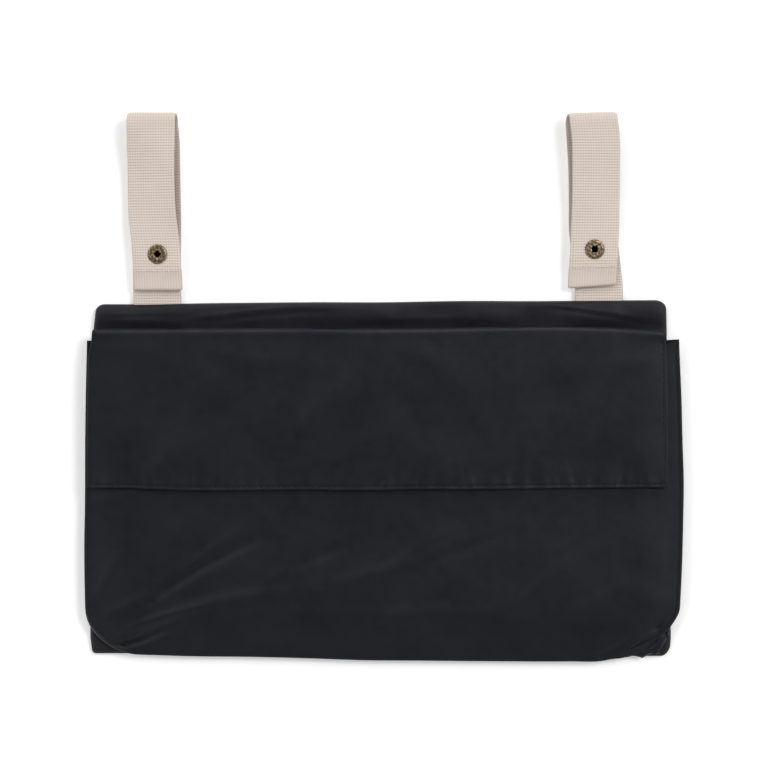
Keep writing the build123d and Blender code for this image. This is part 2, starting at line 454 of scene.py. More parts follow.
def antique_brass(name):
    """Brass darkened by a patina, rubbed bright in patches."""
    material, tree, shader = new_material(name, Metallic=1.0)
    place = node(tree, "TexCoord").outputs["Object"]
    patches = noise(tree, place, 900.0, 4.0, 0.65)
    specks = noise(tree, place, 3200.0, 3.0, 0.7)
    mix = plus(tree, times(tree, patches, 0.6), times(tree, specks, 0.4))
    patina, brown, bright = (0.045, 0.032, 0.020), (0.185, 0.138, 0.088), (0.84, 0.665, 0.43)
    colour = ramp(tree, mix, [(0.38, patina), (0.50, brown), (0.66, bright)])
    # The patina is thick and dark inside the hole.
    radius = split(tree, cloth_place(tree))[0]
    clean = node(tree, "MapRange", {"Value": radius, "From Min": 1.45, "From Max": 1.8, "To Min": 0.1})
    colour = scaled(tree, colour, clean.outputs[0])
    rough = minus(tree, 0.72, times(tree, mix, 0.55))
    connect(tree, shader, Base_Color=colour, Roughness=rough, Normal=bump(tree, mix, 0.00015, 0.6))
    return material


def board(name):
    """Thin grey plastic board."""
    material, tree, shader = new_material(name, Roughness=0.6)
    grain = noise(tree, node(tree, "TexCoord").outputs["Object"], 600.0, 4.0)
    colour = ramp(tree, grain, [(0.3, (0.045, 0.045, 0.047)), (0.7, (0.06, 0.06, 0.062))])
    connect(tree, shader, Base_Color=colour, Normal=bump(tree, grain, 0.0002, 0.2))
    return material


def closure_pile(name, fine):
    """Hook-and-loop tape: a tangle of fine loops, or of small hooks."""
    material, tree, shader = new_material(name, Roughness=0.8, Sheen_Weight=0.3)
    tangle = noise(tree, cloth_place(tree), fine, 5.0, 0.75)
    colour = ramp(tree, tangle, [(0.35, (0.004, 0.004, 0.005)), (0.7, (0.03, 0.03, 0.032))])
    connect(tree, shader, Base_Color=colour, Normal=bump(tree, tangle, 0.0012, 0.8))
    return material


materials = {
    "shell": nylon("nylon_shell", (0.0034, 0.0052, 0.0080), (0.0076, 0.0086, 0.0116)),
    "band": nylon("nylon_band", (0.0076, 0.0078, 0.0116), (0.0126, 0.0126, 0.0170)),
    "lining": nylon("nylon_lining", (0.004, 0.0048, 0.006), (0.007, 0.008, 0.0095), 0.4, 0.6),
    "webbing": webbing(
        "cotton_webbing", (0.42, 0.352, 0.305), (0.645, 0.557, 0.494), (0.765, 0.69, 0.622)
    ),
    "black_thread": thread("black_thread", (0.006, 0.007, 0.009)),
    "beige_thread": thread("beige_thread", (0.60, 0.53, 0.475)),
    "brass": antique_brass("antique_brass"),
    "board": board("stiffener_board"),
    "loops": closure_pile("loop_pile", 1.1),
    "hooks": closure_pile("hook_pile", 0.8),
}


def finish_piece(piece, material, replaced=(), body=None):
    """Gives a piece its material and slot, hides the CAD parts it replaces, and puts it on the body it rides
    on.
    """
    piece.data.materials.append(materials[material])
    if replaced:
        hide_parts(*replaced)
    if body:
        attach(piece, body)
    return piece


# ---------------------------------------------------------------- back of the pouch

BACK_RADIUS = 5.0
# Soft creases in the band above the flap: start, end, width, height, bend.
BAND_FOLDS = [
    ((-150.0, 36.6), (-96.0, 36.2), 0.9, -0.5, 1.0),
    ((-104.0, 36.0), (-26.0, 42.6), 1.2, 0.55, 1.0),
    ((-92.0, 34.0), (-20.0, 39.6), 1.0, -0.4, 1.0),
    ((-60.0, 41.0), (10.0, 40.0), 1.6, 0.35, 1.0),
    ((10.0, 44.0), (84.0, 42.0), 1.6, 0.45, 1.0),
    ((84.0, 42.6), (146.0, 32.6), 1.0, 0.6, 1.0),
    ((90.0, 40.0), (150.0, 30.4), 1.0, -0.55, 1.0),
    ((-5.0, 35.0), (70.0, 34.2), 1.4, 0.3, 1.0),
]


def strap_bumps(x, y):
    """The lining lifts a little over each strap's tail."""
    lift = 0.0
    for side in SIDES:
        near = smoothstep(WEB_HALF + 1.2 - np.abs(x - snap_center[side][0]), 0.0, 2.4)
        lift = lift + near * smoothstep(y, panel_high[1] - 14.0, panel_high[1] - 11.0)
    return lift


def back_sides(row_y):
    """The back's left and right edge at each row."""
    bottom, top = panel_low[1], panel_high[1]
    middle = (panel_low[0] + panel_high[0]) / 2
    left_half = [(bottom, 154.2), (-40.0, 153.4), (30.0, 152.5), (35.0, 152.0), (top, 151.0)]
    right_half = [(bottom, 154.4), (-40.0, 153.4), (24.0, 152.2), (top, 151.9)]
    left = middle - through(row_y, left_half)
    left += corner_inset(row_y, bottom, 9.0, 1.3, 1.2)
    left += corner_inset(row_y, bottom, 1.8, 1.7, 2)
    left += corner_inset(-row_y, -top, 3.9, 4.6, 2)
    right = middle + through(row_y, right_half)
    right -= corner_inset(row_y, bottom, 7.5, 5.2, 1.8)
    right -= corner_inset(-row_y, -top, BACK_RADIUS, 6.0, 2)
    return left, right


def back_shell():
    """The back: a thin closed slab of cloth over a board, with a turned seam all round."""
    bottom, top = panel_low[1], panel_high[1]
    # The band above the flap shows its creases, so its rows are close together.
    band_bottom = 22.0
    lower = corner_rows(bottom, BACK_RADIUS, 9)
    upper = top - corner_rows(0.0, BACK_RADIUS, 11)[::-1]
    straight = np.arange(lower[-1] + 4.0, band_bottom, 4.0)
    band = np.arange(band_bottom, upper[0] - 0.6, 1.1)
    row_y = np.concatenate([lower, straight, band, upper])
    left, right = back_sides(row_y)
    x, y = panel_grid(row_y, left, right, 2.4)
    distance = edge_distance(x, y, outline_of(x, y))
    # The top edge rises towards the right and waves a little.
    rise = 0.4 + 1.15 * x / 150.0 + 0.35 * soft_noise(x, 0.0, 42.0, 3)
    y_soft = y + rise * smoothstep(y, band_bottom, top)
    # The bottom edge sags towards the right.
    y_soft -= 1.4 * smoothstep(x, 20.0, 130.0) * smoothstep(-100.0 - y, 0.0, 40.0)
    # The top and the bottom meet at a seam, at this height all round.
    seam = 1.25
    height = lining_top + 0.1
    z_top = seam + (height - seam) * roll_off(distance, 2.4)
    z_top += 0.35 * strap_bumps(x, y) * roll_off(distance, 4.0)
    in_band = smoothstep(y, 20.0, 32.0)
    # The band rises away from the flap's seam.
    z_top += 1.5 * smoothstep(y, 29.0, 38.0) * roll_off(distance, 6.5)
    waves = 0.55 * soft_noise(x * 0.45, y * 1.6, 12.0, 11) + 0.2 * soft_noise(x, y, 7.0, 12)
    z_top += in_band * waves * roll_off(distance, 5.0)
    add_folds(z_top, x, y, BAND_FOLDS, in_band)
    z_bottom = seam - (seam - 0.02) * roll_off(distance, 1.6)
    flat = np.stack([x, y, 0 * x], 2)
    top_grid = np.stack([x, y_soft, z_top], 2)
    bottom_grid = np.stack([x, y_soft, z_bottom], 2)
    shell = closed_shell("back_shell", top_grid, bottom_grid, 0.25, flat)
    return finish_piece(shell, "band", ("back_panel", "back_lining"), "bag")


# ---------------------------------------------------------------- pocket

POCKET_RADIUS = 27.0
# The height of the pocket's edge along its sides.
EDGE_Z = 7.7
# How much deeper every crease of the pocket and the flap is than its own height says.
FOLD_GAIN = 1.35
# Soft creases in the pocket, most of which run up from its bottom corners: start, end, width,
# height, bend.
POCKET_FOLDS = [
    ((-146.0, -136.0), (-124.0, -132.6), 0.9, 0.8, 1.0),
    ((-142.0, -131.5), (-50.0, -110.0), 2.4, 1.2, 4.5),
    ((-143.0, -138.0), (-104.0, -121.0), 2.0, -2.0, -2.5),
    ((-126.0, -136.0), (-108.0, -121.0), 1.5, 0.5, -1.5),
    ((-150.0, -124.0), (-112.0, -108.0), 1.8, 0.4, 2.0),
    ((-126.0, -116.0), (-60.0, -78.0), 2.0, -1.1, 3.0),
    ((-116.0, -109.0), (-84.0, -84.0), 1.4, 0.45, 1.5),
    ((-104.0, -98.0), (-70.0, -72.0), 1.6, 0.5, 1.5),
    ((-94.0, -98.0), (-62.0, -79.0), 1.2, -0.4, 1.5),
    ((-100.0, -113.0), (-10.0, -109.0), 3.0, 0.4, 3.0),
    ((-64.0, -105.0), (-36.0, -92.0), 2.0, 0.35, 1.5),
    ((-56.0, -101.0), (-10.0, -82.0), 2.2, -0.5, 2.0),
    ((-30.0, -104.0), (48.0, -78.0), 3.0, 0.5, -3.0),
    ((6.0, -92.0), (44.0, -74.0), 2.4, 0.3, 1.5),
    ((20.0, -95.0), (90.0, -74.0), 3.0, -0.4, 3.0),
    ((68.0, -118.0), (132.0, -72.0), 6.0, 0.8, 2.0),
    ((96.0, -116.0), (144.0, -84.0), 3.6, -0.45, -2.0),
    ((90.0, -88.0), (126.0, -66.0), 2.6, 0.35, 1.0),
    ((-20.0, -124.0), (66.0, -120.0), 4.0, 0.35, 2.0),
    ((124.0, -141.5), (150.5, -127.0), 1.4, 1.1, 0.6),
    ((127.0, -141.0), (147.0, -131.5), 1.0, -1.3, 0.5),
    ((143.0, -124.0), (148.0, -136.0), 1.0, -1.3, 0.6),
    ((112.0, -141.0), (138.0, -130.0), 1.8, 0.5, 1.0),
    ((-156.0, -62.0), (-118.0, -56.0), 2.6, 0.35, 1.0),
    ((-152.0, -112.0), (-136.0, -84.0), 2.0, 0.35, 1.0),
]
# How far the pocket's bottom edge lies above its CAD place, by X.
BOTTOM_LIFT = [
    (-158.0, 3.1), (-128.0, 2.5), (-100.0, 1.65), (-70.0, 1.35), (-40.0, 0.6), (-12.0, -0.4), (20.0, -0.65),
    (55.0, -0.95), (100.0, -1.05), (115.0, -0.9), (122.0, 0.3), (134.0, 0.4), (158.0, -0.3),
]


def pocket_sides(row_y):
    """The pocket's left and right edge at each row."""
    bottom = pocket_low[1]
    left = -through(row_y, [(bottom, 157.0), (-113.0, 157.6), (-86.0, 157.9), (-60.0, 157.5),
                            (-30.0, 157.4), (-5.0, 157.1), (24.0, 156.4)])
    left += corner_inset(row_y, bottom, 25.0, 28.0, 2.0)
    right = through(row_y, [(bottom, 155.8), (-116.0, 156.6), (-100.0, 157.4), (-72.0, 158.2),
                            (-50.0, 158.5), (-30.0, 157.9), (-7.0, 157.3), (24.0, 156.0)])
    right -= corner_inset(row_y, bottom, POCKET_RADIUS, 31.0, 1.5)
    return left, right


def pocket_surface():
    """The pocket front's outer face, and the same grid laid flat."""
    bottom, top = pocket_low[1], pocket_high[1]
    lower = corner_rows(bottom, POCKET_RADIUS, 22)
    upper = np.arange(lower[-1] + 2.2, top - 4.0, 2.2)
    row_y = np.concatenate([lower, upper, top - FINE[6::-1]])
    left, right = pocket_sides(row_y)
    x, y = panel_grid(row_y, left, right, 2.1)
    distance = edge_distance(x, y, outline_of(x, y))
    beside_mouth = smoothstep(top - y, 0.0, 8.0)
    # The pocket is fuller towards its bottom, and falls away near its sides.
    full = smoothstep(-66.0 - y, 0.0, 44.0)
    body = pocket_high[2] - 0.25 + 1.5 * full * (1 - (x / 165.0) ** 2)
    body -= 1.0 * (1 - smoothstep(distance, 0.0, 12.0)) * smoothstep(np.abs(x), 120.0, 140.0)
    body += 0.36 * soft_noise(x + 0.5 * y, y, 44.0, 21)
    body += 0.22 * soft_noise(x + y, y - 0.4 * x, 17.0, 22)
    # The edge lies lower along the bottom, where nothing holds it up.
    edge_z = EDGE_Z - 2.2 * smoothstep(-112.0 - y, 0.0, 26.0)
    sag = edge_z + (body - edge_z) * smoothstep(distance, -6.0, 26.0)
    body = np.minimum(body, sag)
    # The edge has a thin bead, with a hollow inside it, and rolls over sooner at the left corner.
    corner = hill(x, -145.0, 22.0) * hill(y, -130.0, 16.0)
    z = edge_z + (body - edge_z) * roll_off(distance, 3.2 - 2.2 * corner)
    z = np.where(beside_mouth < 1, body + (z - body) * beside_mouth, z)
    z += (0.2 + 0.25 * corner) * hill(distance, 1.1 - 0.5 * corner, 0.5) * beside_mouth
    z -= (0.12 + 0.2 * corner) * hill(distance, 2.0, 0.8) * beside_mouth
    lift = through(x, BOTTOM_LIFT) * smoothstep(-100.0 - y, 0.0, 44.0)
    # The creases keep clear of the edge, and of the part under the flap.
    inside = smoothstep(distance, 0.9, 3.6) * smoothstep(-46.0 - y, 0.0, 12.0)
    add_folds(z, x, y + lift, POCKET_FOLDS, inside * FOLD_GAIN)
    # The cloth lies a little higher along the flap's hem than on either side of it.
    z += 0.55 * np.exp(-np.abs(y - flap_low[1] - 1.0) / 3.5) * smoothstep(distance, 2.0, 14.0)
    # The mouth's right end turns up.
    turn_up = 2.4 * smoothstep(x, 149.5, 156.5) - 1.6 * smoothstep(x, 140.0, 148.0)
    lift += turn_up * smoothstep(y, 8.0, top)
    surface = np.stack([x, y + lift, z], 2)
    # Painted sheen along the edge's bead, strongest at the lower left corner: the edge is coloured paler
    # there.
    at_edge = (1 - smoothstep(distance, 0.4, 1.1)) * beside_mouth
    painted_sheen = (0.15 + 3.0 * smoothstep(corner, 0.3, 0.9)) * at_edge
    return surface, np.stack([x, y, painted_sheen], 2)


def pocket_front():
    """The pocket's front cloth and its lining. Returns the cloth and its grid."""
    surface, flat = pocket_surface()
    front = cloth_shell("pocket_front", surface, 0.6, 0.25, flat)
    finish_piece(front, "shell", ("front_panel",), "pocket")
    # The lining stops short of the edges, by a few of the grid's rows and columns.
    inner = (slice(14, -3), slice(8, -8))
    lining = cloth_shell("pocket_lining", surface[inner], 0.3, 0.1, flat[inner], 0.66)
    finish_piece(lining, "lining", ("front_lining",), "pocket")
    return front, surface


def strip_on(piece, name, x_range, y_range, step, thickness, lift, sign=1):
    """A flat strip that follows the face of a piece below or above it."""
    xs = np.linspace(*x_range, int((x_range[1] - x_range[0]) / step) + 2)
    ys = np.linspace(*y_range, max(6, int((y_range[1] - y_range[0]) / step)))
    x, y = np.meshgrid(xs, ys)
    z = drop_on(piece, x, y, sign) + sign * lift
    near = np.stack([x, y, z], 2)
    far = near + np.array([0, 0, sign * thickness])
    flat = np.stack([x, y, 0 * x], 2)
    return closed_shell(name, far, near, thickness * 0.4, flat)


def drop_on(piece, x, y, sign=1):
    """The height of a piece's upper face, or its lower face for sign -1, at each point. A point that
    misses the piece gets the others' mean."""
    tree = BVHTree.FromPolygons(
        [v.co / MM for v in piece.data.vertices], [p.vertices[:] for p in piece.data.polygons]
    )
    heights = []
    for px, py in zip(np.ravel(x), np.ravel(y)):
        hit = tree.ray_cast(Vector((px, py, 60.0 * sign)), Vector((0, 0, -sign)))[0]
        heights.append(hit.z if hit else np.nan)
    heights = np.array(heights)
    heights[np.isnan(heights)] = np.nanmean(heights)
    return heights.reshape(np.shape(x))


THREAD_SIDES = 6


def stitch_row(piece, path, pitch, length, radius, sign=1):
    """Points and faces of single stitches that lie along a path on a piece."""
    path = np.array(path, float)
    steps = np.hypot(*np.diff(path, axis=0).T)
    along = np.concatenate([[0], np.cumsum(steps)])
    starts = np.arange(pitch * 0.3, along[-1] - length, pitch)
    # Each stitch arches up between its ends, which go down into the cloth.
    parts = np.linspace(0, 1, 7)
    place = starts[:, None] + parts * length
    x = np.interp(place, along, path[:, 0])
    y = np.interp(place, along, path[:, 1])
    z = drop_on(piece, x, y, sign) + sign * (radius * 1.5 * np.sin(np.pi * parts) - radius * 0.55)
    points, faces = [], []
    ring = np.linspace(0, 2 * math.pi, THREAD_SIDES, endpoint=False)
    for k in range(len(starts)):
        line = np.stack([x[k], y[k], z[k]], 1)
        direction = (line[-1] - line[0]) / (np.linalg.norm(line[-1] - line[0]) + 1e-9)
        aside = np.cross(direction, (0, 0, 1))
        up = np.cross(aside, direction)
        first = len(points) * THREAD_SIDES
        for share, point in zip(parts, line):
            size = radius * (0.45 + 0.55 * math.sin(math.pi * share) ** 0.5)
            points.append([point + size * (math.cos(a) * aside + math.sin(a) * up) for a in ring])
        faces += grid_quads(len(parts), THREAD_SIDES, first, wrap=True)
        last = first + (len(parts) - 1) * THREAD_SIDES
        faces.append(tuple(first + j for j in reversed(range(THREAD_SIDES))))
        faces.append(tuple(last + j for j in range(THREAD_SIDES)))
    return np.array(points).reshape(-1, 3), faces


def stitches(name, rows):
    """One object from several rows of stitches."""
    points, faces, first = [], [], 0
    for row_points, row_faces in rows:
        points.append(row_points)
        faces += [tuple(first + k for k in f) for f in row_faces]
        first += len(row_points)
    points = np.vstack(points)
    return make_object(name, points, faces, points)


def mouth_hem(front):
    """The pocket's mouth is turned over and stitched."""
    top = pocket_high[1]
    half, width, stitch_inset = 149.0, 6.0, 5.0
    hem = strip_on(front, "mouth_hem", (-half, half), (top - width, top - 0.3), 2.4, 0.35, 0.02)
    finish_piece(hem, "shell", ("mouth_binding",), "pocket")
    path = [(-half + 2, top - stitch_inset), (half - 2, top - stitch_inset)]
    row = stitch_row(hem, path, 3.1, 2.5, 0.2)
    line = stitches("mouth_stitches", [row])
    finish_piece(line, "black_thread", (), "pocket")


def tape_outline_stitches(name, tape, low, high, body, sign):
    """Stitches round a closure tape."""
    inset = 1.6
    left, right = low[0] + inset, high[0] - inset
    bottom, top = low[1] + inset, high[1] - inset
    path = [(left, bottom), (right, bottom), (right, top), (left, top), (left, bottom)]
    line = stitches(name, [stitch_row(tape, path, 3.0, 2.4, 0.2, sign)])
    finish_piece(line, "black_thread", (), body)


def loop_tape(front):
    """The soft half of the closure, on the pocket."""
    low, high = box_mm("loop_tape")
    tape = strip_on(front, "loop_pile", (low[0], high[0]), (low[1], high[1]), 1.6, 0.8, 0.02)
    finish_piece(tape, "loops", ("loop_tape",), "pocket")
    tape_outline_stitches("loop_tape_stitches", tape, low, high, "pocket", 1)


def gusset(surface):
    """The folded strip between the pocket's front and the back, open at the mouth."""
    rows, columns = surface.shape[:2]
    # Down the left edge, along the bottom, and up the right edge.
    order = [(i, 0) for i in range(rows - 1, 0, -1)]
    order += [(0, j) for j in range(columns)]
    order += [(i, columns - 1) for i in range(1, rows)]
    outline = np.array([surface[i, j] for i, j in order])
    along = np.concatenate([[0], np.cumsum(np.hypot(*np.diff(outline[:, :2], axis=0).T))])
    place = np.linspace(0, along[-1], int(along[-1] / 1.2))
    path = np.stack([np.interp(place, along, outline[:, k]) for k in (0, 1)], 1)
    rim_z = np.interp(place, along, outline[:, 2])
    average = np.ones(5) / 5
    tangent = np.stack([
        np.convolve(np.pad(np.gradient(path[:, k]), 2, mode="edge"), average, "valid")
        for k in (0, 1)
    ], 1)
    tangent /= np.linalg.norm(tangent, axis=1, keepdims=True)
    outward = np.stack([tangent[:, 1], -tangent[:, 0]], 1)
    # The strip bulges out and crumples at the lower right corner.
    crumple = hill(path[:, 0], 140.0, 12.0) * hill(path[:, 1], -134.0, 12.0)
    # From the seam on the back to the seam on the front: how far in, how high.
    section = [
        (12.0, 3.25), (7.5, 3.45), (5.6, 3.55), (4.0, 3.8), (2.4, 4.1), (1.3, 4.6), (1.0, 5.1), (1.7, 5.6),
        (2.6, 6.0), (3.0, 6.5), (2.3, 6.9), (1.3, 7.3), (0.5, 7.75),
    ]
    grid = []
    for k, (inset, z) in enumerate(section):
        share = k / (len(section) - 1)
        # The strip is held at both seams and free between them.
        loose = math.sin(math.pi * share)
        shift = loose * 0.8 * soft_noise(place, k * 3.0, 14.0, 31)
        puff = loose * crumple * (6.4 + 1.8 * soft_noise(place, k * 2.0, 4.0, 33))
        out = -inset + shift + puff
        lift = loose * (0.25 * soft_noise(place, k * 4.0, 9.0, 32)
                        + crumple * 2.4 * soft_noise(place * 0.7, k * 2.2, 2.4, 34))
        xy = path + outward * out[:, None]
        seam_z = section[0][1]
        height = seam_z + (z - seam_z) * (rim_z - seam_z) / (section[-1][1] - seam_z)
        grid.append(np.column_stack([xy, height + lift]))
    grid = np.array(grid)
    across = np.linspace(0, 12, len(section))
    flat = np.stack(np.broadcast_arrays(place[None, :], across[:, None], 0.0), 2)
    strip = cloth_shell("gusset_cloth", grid, 0.45, 0.15, flat)
    finish_piece(strip, "shell", ("gusset",))
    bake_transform(strip)


# ---------------------------------------------------------------- flap

# Soft creases in the flap: start, end, width, height, bend.
FLAP_FOLDS = [
    ((-52.0, -34.0), (-8.0, 12.0), 7.0, 0.75, 3.0),
    ((-26.0, -40.0), (12.0, -12.0), 5.0, 0.5, -2.0),
    ((-150.0, 22.0), (-96.0, 6.0), 5.0, 0.35, 2.0),
    ((-98.0, 20.0), (-24.0, 12.0), 5.0, 0.3, -3.0),
    ((146.0, 16.0), (84.0, 10.0), 6.0, 0.35, 3.0),
    ((56.0, -46.0), (112.0, -2.0), 7.0, 0.4, 4.0),
    ((-122.0, -48.0), (-98.0, -14.0), 5.0, 0.3, 1.0),
    ((10.0, 20.0), (62.0, -12.0), 7.0, 0.35, 3.0),
]
FOLD_RADIUS = 1.0
# How far the pressed fold lies below the flap's face.
FOLD_DIP = 0.3
# How high the flap's cloth starts, just above its seam on the back.
ROOT_BASE = lining_top + 0.45
# How far the fold line wanders in Y, by X.
FOLD_LINE = [
    (-156.0, -1.1), (-139.0, -0.95), (-97.0, -0.9), (-44.0, -0.8), (9.0, -1.0), (61.0, 0.1), (100.0, 0.1),
    (125.0, -0.6), (141.0, -1.6), (152.0, -2.6),
]
# How far the hem lies above its CAD place, by X.
HEM_LINE = [
    (-156.0, 1.2), (-139.0, 1.1), (-100.0, 0.1), (-40.0, 0.2), (10.0, 0.4), (60.0, 0.9), (110.0, 1.3),
    (150.0, 1.3),
]


def flap_profile():
    """Y and Z from the seam on the back, up and over the fold: the flap's first rows."""
    y0, z0 = flap_pivot[1], flap_pivot[2]
    rise = [
        (y0 + 2.3, ROOT_BASE), (y0 + 1.4, ROOT_BASE + 0.1), (y0 + 0.7, ROOT_BASE + 0.6),
        (y0 + 0.5, ROOT_BASE + 1.9), (y0 + 0.6, ROOT_BASE + 3.6), (y0 + 1.0, ROOT_BASE + 5.2),
        (y0 + 1.6, z0 - 0.6),
    ]
    turn = [
        (y0 + 1.7 + FOLD_RADIUS * (math.cos(a) - 1), z0 + 1.3 + FOLD_RADIUS * (math.sin(a) - 1))
        for a in np.linspace(0, math.pi / 2, 7)
    ]
    return rise + turn


def flap_surface():
    """The flap's outer face from its seam to its hem, the same grid laid flat, and the fold's row."""
    start = flap_profile()
    bottom, top_z = flap_low[1], start[-1][1]
    plane_y = np.concatenate([
        start[-1][0] - np.array([0.4, 0.8, 1.3, 1.9, 2.7, 3.7]),
        np.arange(start[-1][0] - 5.0, bottom + 12.0, -1.7),
        np.arange(bottom + 12.0, bottom + 3.0, -1.2),
        bottom + np.array([2.4, 1.8, 1.3, 0.9, 0.5, 0.2, 0.0]),
    ])
    row_y = np.concatenate([[p[0] for p in start], plane_y])
    row_z = np.concatenate([[p[1] for p in start], np.full(len(plane_y), top_z)])
    left_edge = [(bottom, 0.0), (0.0, 0.3), (16.0, 0.8), (30.0, 3.0), (40.0, 3.4)]
    left = flap_low[0] + through(row_y, left_edge)
    right = flap_high[0] - through(row_y, [(bottom, 0.0), (0.0, 0.3), (40.0, 1.4)])
    # The cloth is narrower at its seam than at its fold.
    narrow = 3.0 * smoothstep(row_z, ROOT_BASE + 4.0, ROOT_BASE)
    x, y = panel_grid(row_y, left + narrow, right - narrow, 1.5)
    z = np.repeat(row_z[:, None], x.shape[1], axis=1)
    first = len(start) - 1
    # 0 where the cloth still turns over its fold, and 1 on the flap's face.
    on_plane = np.zeros_like(x)
    on_plane[first:] = smoothstep(start[-1][0] - y[first:], 0.0, 6.0)
    # Each point's distance from the nearer side, and from the hem.
    side = np.minimum(x - left[:, None], right[:, None] - x)
    hem = y - bottom
    # The sides and the hem lie lower than the middle.
    z -= on_plane * 0.9 * np.clip(1 - side / 18.0, 0, 1) ** 2
    z -= on_plane * 0.35 * smoothstep(26.0 - hem, 0.0, 26.0)
    z += on_plane * 0.42 * soft_noise(x + 0.6 * y, y, 42.0, 41)
    z += on_plane * 0.22 * soft_noise(x, y - 0.3 * x, 15.0, 42)
    add_folds(z, x, y, FLAP_FOLDS, on_plane * smoothstep(side, 1.0, 6.0) * FOLD_GAIN)
    past_fold = np.clip(start[-1][0] - y, 0.0, 30.0)
    # The fold is pressed flat, and painted sheen colours it pale along its turn.
    turned = (np.arange(len(row_y)) >= first - 2)[:, None]
    z -= FOLD_DIP * turned * np.exp(-past_fold / 0.8)
    painted_sheen = 1.7 * turned * np.exp(-past_fold / 0.5) * smoothstep(side, 0.0, 3.0)
    # The hem is doubled, drawn in by its stitches, and puckers.
    lean = x + 0.3 * hem * soft_noise(x, 0.0, 14.0, 47)
    pucker = soft_noise(lean, 3.0, 2.6, 43) + 0.6 * soft_noise(lean, 0.0, 6.5, 44)
    z += on_plane * 0.5 * pucker * np.exp(-np.abs(hem - 2.4) / 3.8)
    # The stitches pull a groove along the hem and the sides.
    z -= on_plane * 0.30 * hill(hem, 1.7, 0.45) * smoothstep(side, 0.5, 2.0)
    z -= on_plane * 0.08 * hill(side, 1.8, 0.5) * smoothstep(hem, 0.5, 2.0)
    z -= on_plane * 0.25 * (1 - roll_off(np.minimum(side, hem), 0.5))
    near_fold = hill(y, flap_pivot[1], 8.0)
    y_soft = y + (0.175 * soft_noise(x, 0.0, 46.0, 45) + through(x, FOLD_LINE)) * near_fold
    y_soft += 0.25 * soft_noise(x, 0.0, 20.0, 46) * smoothstep(12.0 - hem, 0.0, 12.0) * on_plane
    y_soft += through(x, HEM_LINE) * smoothstep(30.0 - hem, 0.0, 30.0) * on_plane
    # Laid flat, Y is the length of cloth from the seam.
    steps = np.hypot(np.diff(row_y), np.diff(row_z))
    along = np.concatenate([[0], np.cumsum(steps)])
    flat = np.stack([x, np.repeat(-along[:, None], x.shape[1], axis=1), painted_sheen], 2)
    return np.stack([x, y_soft, z], 2), flat, first


def flap():
    """The flap's outer cloth, lining, stitches and hook tape."""
    surface, flat, first = flap_surface()
    # Rows run towards -Y here, so the grid is turned over to face out.
    surface, flat = surface[:, ::-1], flat[:, ::-1]
    outer = cloth_shell("flap_cloth", surface, 0.6, 0.25, flat)
    finish_piece(outer, "shell", ("flap_outer", "flap_root"))
    # The lining begins past the fold, and stops short of the hem and the sides.
    inner = (slice(first + 3, -6), slice(7, -7))
    lining = cloth_shell("flap_inner", surface[inner], 0.3, 0.1, flat[inner], 0.66)
    finish_piece(lining, "lining", ("flap_lining",), "flap")
    edge = 1.7
    pitch, length = 3.0, 2.35
    left, right, bottom = flap_low[0] + edge, flap_high[0] - edge, flap_low[1] + edge
    hem_path = [(px, bottom + through(px, HEM_LINE)) for px in np.linspace(left + 1, right - 1, 40)]
    left_path = [(left + 0.1, bottom + 2), (left + 1.2, flap_pivot[1] - 3)]
    right_path = [(right - 0.1, bottom + 2), (right - 0.8, flap_pivot[1] - 3)]
    rows = [
        stitch_row(outer, path, pitch, length, radius)
        for path, radius in ((hem_path, 0.22), (left_path, 0.2), (right_path, 0.2))
    ]
    line = stitches("flap_stitches", rows)
    finish_piece(line, "black_thread", ("flap_topstitch",), "flap")
    low, high = box_mm("hook_tape")
    tape = strip_on(lining, "hook_pile", (low[0], high[0]), (low[1], high[1]), 1.6, 0.8, 0.02, -1)
    finish_piece(tape, "hooks", ("hook_tape",), "flap")
    tape_outline_stitches("hook_tape_stitches", tape, low, high, "flap", -1)
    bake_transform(outer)


# ---------------------------------------------------------------- webbing loops

RIB_HEIGHT = 0.17
STEP = ROW_PITCH / 5
# Where the back leg's piece ends and the front leg's piece begins, before the fold.
JOIN_Y = 132.0
# How far the webbing's middle line lies from its CAD place, by Y, on the way up and down.
DRIFT_UP = {
    "left": [
        (34.0, -0.3), (60.0, -0.7), (80.0, -0.6), (96.0, -0.2), (113.0, -0.2), (122.0, -0.5), (130.0, -1.1),
        (140.0, -2.4),
    ],
    "right": [
        (34.0, 2.7), (55.0, 2.5), (63.5, 1.6), (72.0, 0.6), (83.0, -0.5), (98.0, -0.9), (113.0, -1.2),
        (128.0, -1.8), (140.0, -2.3),
    ],
}
DRIFT_DOWN = {
    "left": [
        (49.0, 0.4), (55.0, 0.1), (61.0, -0.15), (69.2, -0.55), (76.0, -1.0), (83.0, -1.9), (90.0, -2.7),
        (98.0, -3.0), (120.0, -3.15), (143.0, -3.0),
    ],
    "right": [
        (49.0, -1.3), (60.0, -0.9), (68.0, -0.45), (75.6, -0.1), (83.0, 0.2), (98.0, 0.55), (113.0, 0.6),
        (128.4, 0.3), (136.0, -0.4), (143.0, -1.6),
    ],
}
# Each leg is rolled about its length, so that one edge is higher, by Y in degrees.
ROLL_UP = {
    "left": [(34.0, 0.0), (80.0, 0.0), (98.0, 11.0), (118.0, 13.0), (140.0, 0.0)],
    "right": [(34.0, 0.0), (80.0, 0.0), (100.0, -7.0), (118.0, -8.0), (140.0, 0.0)],
}
ROLL_DOWN = {
    "left": [(50.0, 0.0), (80.0, 0.0), (98.0, 8.0), (118.0, 9.0), (136.0, 0.0)],
    "right": [(50.0, 0.0), (80.0, 0.0), (100.0, -4.0), (118.0, -4.0), (136.0, 0.0)],
}
# How much the hem and the fold slope across the webbing.
HEM_TILT = {"left": 0.0, "right": 0.07}
TOP_TILT = {"left": 0.0, "right": 0.03}
